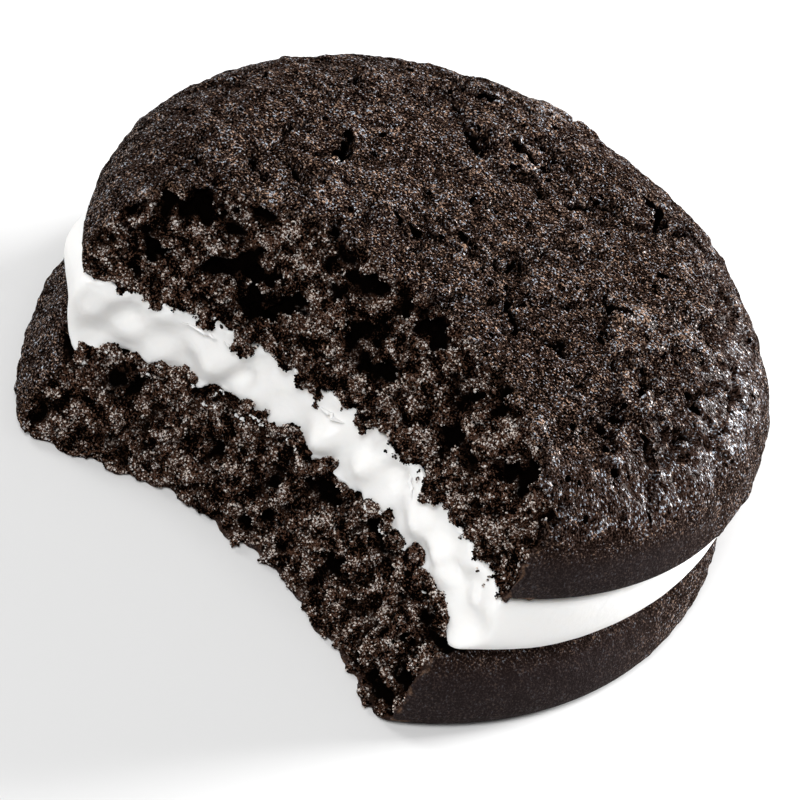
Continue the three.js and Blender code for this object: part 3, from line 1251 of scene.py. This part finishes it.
# %% [markdown]
# ## The cream
#
# Whipped cream is spooned on, and the top cake presses it out into a soft bulging edge. So a disc
# is drawn up ring by ring with that bulge, its upper rings laid against the leaning cake, and both
# cakes are taken out of it. What stays fits them without a gap. Where the bite tore it off the cakes
# its edge is ragged, so flecks are melted into it.

# %% The cream as a bulging disc

CREAM_SPREAD = 27.4
CREAM_UNDER_TOP = 28.6
CREAM_BULGE = 1.4
CREAM_CENTRE = (1.0, -0.1)
CREAM_RINGS = 8
CREAM_FACE = 0.27
INTO_CAKES = 0.2  # the disc overlaps both cakes by this before they are taken out of it
SOFTENING = 14  # rounds of smoothing


def underside_of_top(x, y):
    """Height of the plane under the leaning top cake, in millimetres."""
    up = top_cake.lean @ Vector((0, 0, 1))
    slope = (x - top_cake.place.x) * up.x + (y - top_cake.place.y) * up.y
    return top_cake.place.z - slope / up.z


def cream_disc(name):
    """The whole cream before the bite, as a disc with a swelling edge."""
    rings = []
    for share in np.linspace(0, 1, CREAM_RINGS + 1):
        between = CREAM_SPREAD + (CREAM_UNDER_TOP - CREAM_SPREAD) * share
        level = (1 - math.cos(share * math.pi)) / 2
        rings.append((between + CREAM_BULGE * math.sin(share * math.pi), level))
    disc = draw_up(name, rings)
    lower = bottom_cake.height_at(CREAM_SPREAD) - INTO_CAKES
    for vertex in disc.data.vertices:
        x, y, level = vertex.co / MM
        x += CREAM_CENTRE[0]
        y += CREAM_CENTRE[1]
        upper = underside_of_top(x, y) + INTO_CAKES
        vertex.co = Vector((x, y, lower + level * (upper - lower))) * MM
    modify(disc, "SUBSURF", levels=2, render_levels=2, use_limit_surface=False)
    return disc


cream = cream_disc("cream")
cut(cream, "DIFFERENCE", whole_bottom)
cut(cream, "DIFFERENCE", whole_top)
cut(cream, "DIFFERENCE", bite)
modify(cream, "REMESH", mode="VOXEL", voxel_size=CREAM_FACE * MM)
modify(cream, "SMOOTH", factor=0.5, iterations=SOFTENING)
measure(cream)

# %% Torn flecks along the bite

TORN_X = (-19, 18)
FLECK_BEHIND = (-0.05, 0.25)
FLECK_SIZES = (0.12, 0.28)
LOWER_FLECKS = 110
LOWER_HEIGHTS = (-0.3, 0.15)  # over the bottom cake's upper edge
UPPER_FLECKS = 120
UPPER_HEIGHTS = (-0.2, 0.3)  # over the top cake's underside


def torn_edge(count, height_of, heights, random):
    """Centres and radii of balls along one edge of the cream, in millimetres."""
    x = random.uniform(*TORN_X, count)
    z = height_of(x) + random.uniform(*heights, count)
    y = bite_y(x, z) + random.uniform(*FLECK_BEHIND, count)
    return np.stack([x, y, z], 1), random.uniform(*FLECK_SIZES, count)


def bottom_contact(x):
    """Height of the bottom cake's upper edge at the bite."""
    return bottom_cake.height_at(np.hypot(x, bite_y(x, bottom_cake.thickness)))


def top_contact(x):
    """Height of the top cake's underside at the bite."""
    return underside_of_top(x, bite_y(x, top_cake.place.z))


random = np.random.default_rng(17)
lower_edge, lower_sizes = torn_edge(LOWER_FLECKS, bottom_contact, LOWER_HEIGHTS, random)
upper_edge, upper_sizes = torn_edge(UPPER_FLECKS, top_contact, UPPER_HEIGHTS, random)
flecks = np.concatenate([lower_edge, upper_edge])
edge = balls("edge", flecks, np.concatenate([lower_sizes, upper_sizes]), 51)
cream = join("cream", cream, edge)
modify(cream, "REMESH", mode="VOXEL", voxel_size=CREAM_FACE * MM)
modify(cream, "SMOOTH", factor=0.5, iterations=1)
measure(cream)

# %% [markdown]
# ## Lobes, dips and smears
#
# Teeth and tongue drag cream about, so the bitten face has soft lobes, dips between them and fine
# streaks. Noise would put them anywhere. Here the ones that the photo shows are pulled out or pushed
# in one by one, with proportional editing, and only the fine streaks are left to noise.

# %% Lobes and dips left by the bite (x, height, reach, pull towards the mouth, in millimetres)

LOBES = [
    (-10, 12.6, 2.8, 0.6),
    (1, 11.9, 2.4, 0.7),
    (5.5, 12.6, 2.0, 0.5),
    (12, 12.5, 2.2, 0.5),
    (15, 11.9, 1.8, 0.5),
    (20, 12.5, 1.6, 0.3),
    (-17.5, 13.6, 2.0, -0.4),
    (-7.2, 12.4, 1.7, -0.5),
    (-3.5, 14.6, 1.7, -0.4),
    (8.5, 13.6, 1.7, -0.5),
    (17.2, 12.2, 1.5, -0.4),
]
# On the left the cream was squeezed out past both cakes.
LEFT_BULGE = {"place": (-25.5, -14, 13.2), "move": (-1.1, -0.3, 0), "reach": 5}
# At the right its lower lip hangs clear of the bottom cake, over a black shadow.
RIGHT_LIP = {"place": (21.5, -18.5, 8.4), "move": (-0.2, 0.1, 0.25), "reach": 7}
STRONGER = 1.7
UPWARDS = 0.1

for x, height, reach, towards in LOBES:
    move = (0, -STRONGER * towards, UPWARDS * towards)
    pull(cream, (x, bite_y(x, height), height), move, reach)
pull(cream, **LEFT_BULGE)
pull(cream, **RIGHT_LIP)
measure(cream)

# %% Smears and a finish

# Height and size in millimetres. The streaks run across, so their places are squeezed along x.
SOFT_SWELLS = (0.16, 5.0)
STREAKS = (0.06, 0.7)
STREAKS_RUN = (0.35, 1.0, 1.0)

bench, shape = shape_nodes("cream_smears")
place = place_in_mm(bench)
streaked = bench.vector("MULTIPLY", place, STREAKS_RUN)
smears = waves(bench, place, *SOFT_SWELLS, detail=1.0) + waves(bench, streaked, *STREAKS, rough=0.6)
run_nodes(cream, swell(bench, shape, smears))
pick(cream)
bpy.ops.object.shade_smooth()
measure(cream)

# %% [markdown]
# ## Crumbs on the cream, and cream on the crumb
#
# Where the cakes were torn off the cream, a few dark crumbs stick to it, and small white streaks of
# cream stick to the crumb. Both are little balls in small heaps. They are pieces of their own,
# because each wears the other side's material.

# %% Crumbs that stick to the cream

STUCK = 34
IN_A_CRUMB = 6
CRUMB_SPREAD = 0.09
CRUMB_SIZES = (0.05, 0.14)
CRUMB_STANDS_OUT = 0.04
ON_THE_FACE = 0.5  # millimetres behind the bite's surface at the most
RIGHT_OF = -17
NEAR_TOP_CAKE = 0.25
CRUMB_WAVES = (0.12, 0.25)


def stuck_crumbs(name, seed):
    """Dark crumbs on the bitten cream, most of them just under the top cake."""
    random = np.random.default_rng(seed)
    places, normals = surface_of(cream)
    below_top = underside_of_top(places[:, 0], places[:, 1]) - places[:, 2]
    on_the_face = (behind_bite(places) < ON_THE_FACE) & (places[:, 0] > RIGHT_OF)
    bitten = np.flatnonzero(on_the_face & (below_top > -0.1))
    odds = np.exp(-below_top[bitten] / NEAR_TOP_CAKE)
    chosen = random.choice(bitten, STUCK, replace=False, p=odds / odds.sum())
    around = random.normal(0, CRUMB_SPREAD, (STUCK, IN_A_CRUMB, 3))
    centres = (places[chosen] + CRUMB_STANDS_OUT * normals[chosen])[:, None] + around
    centres = centres.reshape(-1, 3)
    crumbs = balls(name, centres, random.uniform(*CRUMB_SIZES, len(centres)), seed, faces=1)
    bench, shape = shape_nodes("crumb_skin")
    run_nodes(crumbs, swell(bench, shape, waves(bench, place_in_mm(bench), *CRUMB_WAVES)))
    measure(crumbs)
    return crumbs


stuck = stuck_crumbs("crumbs_on_cream", 61)

# %% Dabs of cream that stick to the crumb

DABS = 16
BALLS_IN_DAB = 7
DAB_HALF_LENGTH = 0.18
DAB_HEADING = (1.0, 0.3, 0.6)  # dabs lie mostly across
DAB_SCATTER = 0.05
DAB_SIZES = (0.06, 0.15)
DAB_STANDS_OUT = 0.03
DAB_FACE = 0.05
NEAR_CREAM = 0.45
LEFT_OF = 17
RIDGE_IN_FRONT = 0.45
RIDGE_HALF_WIDTH = 0.22
# Thin ridges of cream that the top cake pulled off, as x and height.
RIDGES = [
    [(-12.8, 15.7), (-10.9, 15.4), (-9.8, 15.2)],
    [(-9.4, 15.2), (-8.3, 15.1)],
    [(0.5, 14.6), (2.5, 14.3)],
    [(9.5, 14.8), (11.0, 14.2)],
]
# Dabs that the photo shows, as x and height.
SHOWN_DABS = [
    (-8.8, 9.0), (-8.2, 9.2), (-6.0, 9.3), (-5.5, 9.5), (-4.5, 10.1), (-4.0, 10.2), (9.5, 9.1),
]


def places_for_dabs(places, normals, random):
    """Which of the crumb's corners get a dab: some just under the cream, and the shown ones."""
    below = bottom_contact(places[:, 0]) - places[:, 2]
    in_front = (behind_bite(places) < 0.4) & (normals[:, 1] < -0.2)
    near = np.flatnonzero(in_front & (below > -0.3) & (places[:, 0] < LEFT_OF))
    odds = np.exp(-below[near] / NEAR_CREAM)
    chosen = random.choice(near, DABS, replace=False, p=odds / odds.sum())
    for x, z in SHOWN_DABS:
        gaps = np.linalg.norm(places - (x, bite_y(x, z) - 1, z), axis=1)
        chosen = np.append(chosen, gaps.argmin())
    return chosen


def cream_dabs(name, seed):
    """Small white streaks on the bottom cake's crumb, and thin ridges under the top cake."""
    random = np.random.default_rng(seed)
    places, normals = surface_of(bottom_crumb)
    chosen = places_for_dabs(places, normals, random)
    heading = random.normal(0, 1, (len(chosen), 1, 3)) * DAB_HEADING
    along = np.linspace(-DAB_HALF_LENGTH, DAB_HALF_LENGTH, BALLS_IN_DAB)[None, :, None]
    scatter = random.normal(0, DAB_SCATTER, (len(chosen), BALLS_IN_DAB, 3))
    middles = places[chosen] + DAB_STANDS_OUT * normals[chosen]
    centres = middles[:, None] + along * heading + scatter
    radii = random.uniform(*DAB_SIZES, centres.shape[:2])
    dabs = balls(name, centres.reshape(-1, 3), radii.ravel(), seed, faces=1)
    lines = [[(x, bite_y(x, z) - RIDGE_IN_FRONT, z) for x, z in line] for line in RIDGES]
    dabs = join(name, dabs, ragged_tubes("ridges", lines, RIDGE_HALF_WIDTH, random))
    modify(dabs, "REMESH", mode="VOXEL", voxel_size=DAB_FACE * MM)
    pick(dabs)
    bpy.ops.object.shade_smooth()
    measure(dabs)
    return dabs


dabs = cream_dabs("cream_dabs", 67)

# The cutters and the whole cakes were only helpers.
discard(bite, seam, fine_part, whole_bottom, whole_top, crack_lines, *top_cutters)

# %% [markdown]
# ## Materials
#
# The crust is nearly black, with a grain like sandpaper: brown crumb, black gaps, and specks of
# painted highlight in cool or warm glints. The torn crumb is browner and moister. Both are one
# material, because the crust is only the outermost half millimetre of the cake: the note
# "under_crust" says how deep a spot lies. One noise gives all three. Where it is low it is a gap, in
# between it is brown, and where it is high it is a painted glint. It also drives the Bump node,
# since a painted speckle alone would look flat. The glints are coated most, so that the gaps stay
# black. Cracks, cavities and sunk relief are painted shade, as black as the gaps, and proud relief
# and the wrinkled shoulder get more painted glints.

# %% Starting a material


def start_material(name):
    """A bare material, and its object coordinates in millimetres."""
    material = bpy.data.materials.new(name)
    material.use_nodes = True
    material.node_tree.nodes.clear()
    bench = Wire(material.node_tree)
    coordinates = bench.node("ShaderNodeTexCoord", {}, {}, "Object")
    return material, bench, bench.vector("SCALE", coordinates, scale=1 / MM)


def mix_colours(bench, share, first, second):
    """The first colour where share is 0, the second where it is 1."""
    sockets = {"Factor": share, "A": first, "B": second}
    return bench.node("ShaderNodeMix", {"data_type": "RGBA"}, sockets, "Result")


def finish_material(bench, sockets):
    """The shader and the material's output."""
    shader = bench.node("ShaderNodeBsdfPrincipled", {}, sockets, "BSDF")
    bench.node("ShaderNodeOutputMaterial", {}, {"Surface": shader})


def bump(bench, height, depth, normal=None):
    """A Bump node: height 1 stands `depth` millimetres proud."""
    sockets = {"Height": height, "Distance": depth * MM, "Strength": 1.0}
    if normal is not None:
        sockets["Normal"] = normal
    return bench.node("ShaderNodeBump", {}, sockets, "Normal")


def read_note(bench, name):
    """The number that note() left on the corners, in a material."""
    return bench.node("ShaderNodeAttribute", {"attribute_name": name}, {}, "Fac")


# %% Chocolate cake: crust and crumb

# Black for the gaps in the grain, and painted shade in cracks, cavities and sunk relief.
GAP_AND_SHADE = (0.0014, 0.0009, 0.0007, 1)
CRUST_BROWN = (0.041, 0.0225, 0.016, 1)
WALL_BROWN = (0.0235, 0.0165, 0.0160, 1)
CRUMB_BROWN = (0.085, 0.041, 0.025, 1)
RIM_BROWN = (0.15, 0.085, 0.052, 1)
# Painted highlights: the light warm, cool and moist white tints that glints are painted in.
WARM_PAINTED_GLINT = (0.44, 0.28, 0.19, 1)
COOL_PAINTED_GLINT = (0.43, 0.49, 0.57, 1)
MOIST_PAINTED_GLINT = (0.90, 0.82, 0.75, 1)
GRAIN_SIZE = 0.19
PATCH_SIZE = 1.3
GAP_BELOW = (0.465, 0.53)  # the grain is a black gap under the first and brown over the second
PAINTED_GLINT_ABOVE = (0.58, 0.67)
CRUMB_DEPTH = (0.25, 0.7)
# Painted shade and painted highlight by relief: sunk relief is painted black, proud relief gets painted
# glints.
PAINTED_SHADE_RELIEF = (-0.85, -0.35)  # relief as low as the first is black
PAINTED_GLINT_RELIEF = (0.08, 0.6)
WALL_GRAIN = 0.4  # the smooth wall shows this share of the grain
HARD_GLOSS = {"Specular IOR Level": 0.0, "Coat Roughness": 0.3}


def grain_noise(bench, place, drawn, wrinkles, crumb, high):
    """The grain, about 0.5: in patches, and streaked where the shoulder is wrinkled."""
    fine = noise(bench, place, GRAIN_SIZE, 2.0, 0.7)
    streaked = noise(bench, drawn, 0.8 * GRAIN_SIZE, 2.0, 0.7)
    grain = fine + 0.6 * wrinkles * (streaked - fine)
    patches = noise(bench, place, PATCH_SIZE, 3.0, 0.6) - 0.5
    # Proud relief and the wrinkled shoulder are raised towards painted glints, a painted highlight.
    return grain + (0.30 + 0.48 * crumb) * patches + 0.07 * high + 0.03 * wrinkles


def browns(bench, place, upper, crumb, under):
    """The brown of the grains: darkest on the wall, warmest in the crumb and at its rim."""
    brown = mix_colours(bench, upper, WALL_BROWN, CRUST_BROWN)
    brown = mix_colours(bench, crumb, brown, CRUMB_BROWN)
    rim = fade(bench, under, 0.08, 0.16) * (1 - fade(bench, under, 0.22, 0.4))
    broken = fade(bench, noise(bench, place, 0.7, 2.0), 0.42, 0.58)
    return mix_colours(bench, 0.55 * rim * broken, brown, RIM_BROWN)


def painted_glint_colours(bench, place, wrinkles, crumb):
    """Colours of the painted highlights: warm or cool specks, whiter on the moist crumb, cooler on the
    wrinkled shoulder.
    """
    cool = fade(bench, noise(bench, place, 0.3, 1.0) + 0.1 * wrinkles, 0.45, 0.6)
    painted_glint = mix_colours(bench, cool, WARM_PAINTED_GLINT, COOL_PAINTED_GLINT)
    return mix_colours(bench, 0.7 * crumb, painted_glint, MOIST_PAINTED_GLINT)


def chocolate(name, cake, low_wall):
    """One cake's crust and crumb by depth, painted shade in hollows, painted glints on proud spots."""
    material, bench, place = start_material(name)
    x, y, z = own_axes(bench, cake, place)
    distance = (x * x + y * y) ** 0.5
    under = read_note(bench, "under_crust")
    relief = read_note(bench, "relief")
    upper = 1 - smooth_wall(bench, x, y, z, low_wall)
    crumb = fade(bench, under, *CRUMB_DEPTH)
    # Painted shade: sunk relief, cracks and cavities are painted as black as the gaps. Proud relief
    # gets more painted glints.
    low = (1 - fade(bench, relief, *PAINTED_SHADE_RELIEF)) * (1 - crumb)
    high = fade(bench, relief, *PAINTED_GLINT_RELIEF) * (1 - crumb)
    painted_shade = bench.maths("MAXIMUM", read_note(bench, "torn"), read_note(bench, "cavity"))
    painted_shade = bench.maths("MAXIMUM", painted_shade, low)
    grainy = WALL_GRAIN + (1 - WALL_GRAIN) * bench.maths("MAXIMUM", upper, crumb)

    # On the shoulder the grain is drawn out down the wall.
    drawn = stretched_down(bench, x, y, z, distance)
    wrinkles = wrinkled(bench, x, y, z, distance, low_wall) * (1 - crumb)
    grain = grain_noise(bench, place, drawn, wrinkles, crumb, high)
    gaps = (1 - fade(bench, grain, *GAP_BELOW)) * grainy
    gaps = bench.maths("MAXIMUM", gaps, painted_shade)
    # Painted highlight: the highest grain is painted in a glint colour, and coated for real gloss.
    painted_glints = fade(bench, grain - 0.045 * crumb, *PAINTED_GLINT_ABOVE) * grainy**3 * (1 - painted_shade)
    colour = mix_colours(bench, gaps, browns(bench, place, upper, crumb, under), GAP_AND_SHADE)
    colour = mix_colours(bench, painted_glints, colour, painted_glint_colours(bench, place, wrinkles, crumb))

    normal = bump(bench, noise(bench, place, 0.7, 3.0, 0.6), 0.22)
    sockets = {
        "Base Color": colour,
        "Roughness": 0.6 - 0.15 * painted_glints,
        "Normal": bump(bench, grain * grainy, 0.3, normal),
        "Coat Weight": (0.5 + 0.35 * crumb) * painted_glints + 0.08 * (1 - gaps),
    }
    finish_material(bench, sockets | HARD_GLOSS)
    print(f"{name}: {len(material.node_tree.nodes)} nodes")
    return material


# %% Chocolate cake: loose grains

SPECK_SIZE = 0.13
PAINTED_GRAIN_GLINT_ABOVE = (0.84, 0.98)



def loose_chocolate(name):
    """The single grains and crumbs: each as brown or as bright as its own luck has it."""
    material, bench, place = start_material(name)
    luck = read_note(bench, "luck")
    specks = noise(bench, place, SPECK_SIZE, 2.0, 0.7)
    clump = fade(bench, noise(bench, place, PATCH_SIZE, 3.0, 0.6), 0.44, 0.57)
    brown = mix_colours(bench, clump * fade(bench, luck, 0.0, 0.7), GAP_AND_SHADE, CRUMB_BROWN)
    brown = mix_colours(bench, 1 - fade(bench, specks, 0.35, 0.5), brown, GAP_AND_SHADE)
    # Painted highlights: lucky grains in bright patches are painted in glint colours.
    painted_glints = clump * fade(bench, 0.6 * luck + specks, *PAINTED_GRAIN_GLINT_ABOVE)
    hue = noise(bench, place, 0.5, 1.0)
    painted_glint_colour = mix_colours(bench, fade(bench, hue, 0.4, 0.6), WARM_PAINTED_GLINT, COOL_PAINTED_GLINT)
    painted_glint_colour = mix_colours(bench, 0.7, painted_glint_colour, MOIST_PAINTED_GLINT)
    colour = mix_colours(bench, painted_glints, brown, painted_glint_colour)
    normal = bump(bench, specks, 0.15)
    sockets = {"Base Color": colour, "Roughness": 0.5, "Normal": normal}
    finish_material(bench, sockets | {"Coat Weight": 0.7 * painted_glints} | HARD_GLOSS)
    return material


def paint(piece, material):
    """Gives the whole piece one material."""
    piece.data.materials.clear()
    piece.data.materials.append(material)


bottom_chocolate = chocolate("chocolate_bottom", bottom_cake, LOW_WALL["bottom"])
top_chocolate = chocolate("chocolate_top", top_cake, LOW_WALL["top"])
grain_chocolate = loose_chocolate("chocolate_grains")
for piece in (bottom_body, bottom_crumb):
    paint(piece, bottom_chocolate)
for piece in (top_body, top_crumb):
    paint(piece, top_chocolate)
for piece in (bottom_grains, top_grains, stuck):
    paint(piece, grain_chocolate)

# %% White cream

CREAM_WHITE = (0.865, 0.857, 0.842, 1)

white_cream, bench, place = start_material("white_cream")
normal = bump(bench, noise(bench, place, 0.5, 3.0, 0.6), 0.03)
rough = 0.34 + 0.12 * noise(bench, place, 1.5, 2.0)
finish_material(
    bench,
    {
        "Base Color": CREAM_WHITE,
        "Roughness": rough,
        "Normal": normal,
        "Subsurface Weight": 0.35,
        "Subsurface Radius": (1.0, 0.9, 0.8),
        "Subsurface Scale": 0.0015,
    },
)
for piece in (cream, dabs):
    paint(piece, white_cream)
print("White cream on", cream.name, "and", dabs.name)

# %% [markdown]
# ## On the body, floor, light and camera
#
# The sandwich has no moving part, so all pieces ride on one body. The floor is plain and pale, and
# the light comes from large soft lamps above and behind, as in the photo.

# %% Riding and replacing

for piece, node, slot in (
    (bottom_body, "cake_bottom", SLOT_CAKE),
    (bottom_crumb, "cake_bottom", SLOT_CAKE),
    (top_body, "cake_top", SLOT_CAKE),
    (top_crumb, "cake_top", SLOT_CAKE),
    (bottom_grains, "cake_bottom", SLOT_CAKE),
    (top_grains, "cake_top", SLOT_CAKE),
    (cream, "cream_filling", SLOT_CREAM),
    (dabs, "cream_filling", SLOT_CREAM),
    (stuck, "cream_filling", SLOT_CAKE),
):
    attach(piece, "root")
    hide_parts(node)
    print(f"{piece.name} rides on root and stands for {node}")

# %% Floor

bpy.ops.object.select_all(action="DESELECT")
bpy.ops.mesh.primitive_plane_add(size=4)
floor = bpy.context.object
floor.name = "floor"
floor_paint, bench, place = start_material("pale_floor")
finish_material(bench, {"Base Color": (0.80, 0.80, 0.80, 1), "Roughness": 0.8})
paint(floor, floor_paint)
print("Floor at height 0")

# %% Light

LIT_PLACE = Vector((0, 0, 0.012))  # the middle of the sandwich
ROOM_LIGHT = 0.14


def soft_lamp(name, place, size, power):
    """A square lamp that looks at the cake."""
    bpy.ops.object.light_add(type="AREA", location=place)
    lamp = bpy.context.object
    lamp.name = name
    lamp.data.size = size
    lamp.data.energy = power
    print(f"{name}: {power} W, {size} m wide")
    lamp.rotation_euler = (LIT_PLACE - Vector(place)).to_track_quat("-Z", "Y").to_euler()
    return lamp


soft_lamp("key_front", (0.03, -0.28, 0.42), 0.18, 1.85)
soft_lamp("key_left", (-0.45, -0.06, 0.26), 0.2, 0.95)
soft_lamp("rim_behind_right", (0.25, 0.5, 0.20), 0.22, 6.2)
soft_lamp("edge_right", (0.32, 0.48, 0.12), 0.12, 2.4)

world = bpy.data.worlds.new("studio")
world.use_nodes = True
background = world.node_tree.nodes["Background"]
background.inputs["Color"].default_value = (1, 1, 1, 1)
background.inputs["Strength"].default_value = ROOM_LIGHT
bpy.context.scene.world = world
bpy.context.scene.view_settings.view_transform = "Standard"

# %% [markdown]
# ## The camera
#
# The photo was taken from in front and well above with a long lens, so the cake hardly tapers. The
# angles and the lens were found by laying the outlines of both cakes and the cream over the photo's.
# They could be one matrix of twelve numbers, but angles and a distance can be read.

# %% Camera at the photo's angle

AZIMUTH = math.radians(21.7)
ELEVATION = math.radians(44.278)
ROLL = math.radians(20.485)
DISTANCE = 300
LENS = 161.21
TARGET = Vector((0, 0, 12))
AIM = (-0.484, -4.411)  # across and up from the target, in millimetres
SENSOR_WIDTH = 36
NEAREST = 0.01
FARTHEST = 10

back = Vector(
    (
        math.sin(AZIMUTH) * math.cos(ELEVATION),
        -math.cos(AZIMUTH) * math.cos(ELEVATION),
        math.sin(ELEVATION),
    )
)
right = Vector((math.cos(AZIMUTH), math.sin(AZIMUTH), 0))
up = back.cross(right)
right, up = (
    right * math.cos(ROLL) + up * math.sin(ROLL),
    up * math.cos(ROLL) - right * math.sin(ROLL),
)
stand = TARGET + back * DISTANCE
look = (stand - TARGET - right * AIM[0] - up * AIM[1]).normalized()
side = up.cross(look).normalized()
top = look.cross(side)

bpy.ops.object.camera_add(location=stand * MM)
camera = bpy.context.object
camera.matrix_world = Matrix.Translation(stand * MM) @ Matrix((side, top, look)).transposed().to_4x4()
camera.data.lens = LENS
camera.data.sensor_width = SENSOR_WIDTH
camera.data.clip_start = NEAREST
camera.data.clip_end = FARTHEST
bpy.context.scene.camera = camera
print(f"Camera {DISTANCE} mm away, {math.degrees(ELEVATION):.0f} degrees up")
